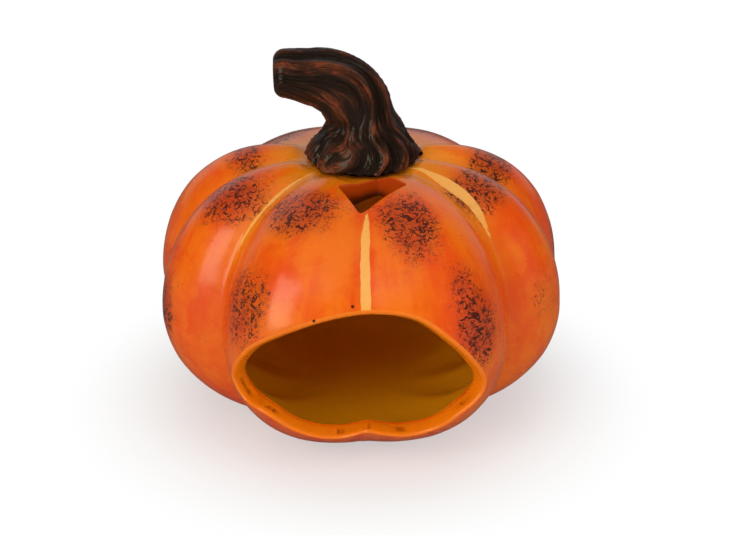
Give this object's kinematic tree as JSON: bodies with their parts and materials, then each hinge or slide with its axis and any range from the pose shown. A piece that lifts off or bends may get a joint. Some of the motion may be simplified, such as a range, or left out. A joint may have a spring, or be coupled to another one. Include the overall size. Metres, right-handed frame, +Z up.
{
  "type": "ceramic pumpkin lantern",
  "caption": "Hollow ribbed ceramic pumpkin with a wide arched mouth, a small vent cut in the crown and a leaning ridged stem, glazed inside and out.",
  "frame": {"origin": "centre of the flat foot, on the surface that the pumpkin stands on", "axes": "+Z up along the pumpkin's core, -Y towards the mouth, +X to the right of someone facing the mouth"},
  "size_m": [0.1607, 0.1548, 0.1513],
  "materials": {
    "shell_glaze": "glossy orange glaze, dark brush marks on the lobes, yellow grooves",
    "stem_glaze": "dark brown, satin, red-brown on the ridges",
    "cement": "matte dark brown bedding"
  },
  "bodies": {
    "root": {"pumpkin_shell": "shell_glaze", "stem": "stem_glaze", "stem_cement": "cement"}
  },
  "joints": []
}
